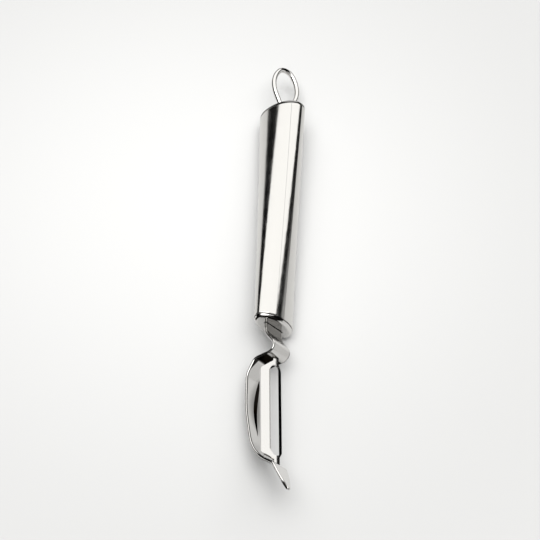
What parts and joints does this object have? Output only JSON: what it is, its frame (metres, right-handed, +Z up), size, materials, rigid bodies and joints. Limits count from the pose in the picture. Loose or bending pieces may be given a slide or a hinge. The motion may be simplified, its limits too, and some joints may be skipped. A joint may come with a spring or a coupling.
{
  "type": "vegetable peeler",
  "caption": "Straight swivel vegetable peeler of steel: drawn oval handle with a wire hanging loop, bowed flat strip with a pointed tip, and a slotted blade that swivels in the strip's arms.",
  "frame": {"origin": "middle of the bounding box on the surface the peeler lies on", "axes": "+Z up, +Y along the handle towards the hanging loop; the peeler is rolled 49 degrees on its side as it lies in the picture"},
  "size_m": [0.0198, 0.2124, 0.0183],
  "materials": {
    "satin_steel": "fine satin, brushed lengthwise",
    "polished_steel": "polished",
    "polished_wire": "polished",
    "polished_strip": "polished, with fine wear",
    "blade_steel": "polished sheet with a ground bevel",
    "plug_steel": "bare"
  },
  "bodies": {
    "frame": {"handle_tube": "satin_steel", "front_cap": "polished_steel", "rear_cap": "polished_steel", "hanging_loop": "polished_wire", "blade_holder": "polished_strip", "tang_plug": "plug_steel"},
    "blade": {"blade": "blade_steel"}
  },
  "joints": [
    {"name": "blade_swivel", "type": "hinge", "parent": "frame", "child": "blade", "pos_m": [0.00271, -0.06825, 0.01192], "axis": [-0.0421, 0.9983, -0.0407], "range_deg": [0, 33]}
  ]
}
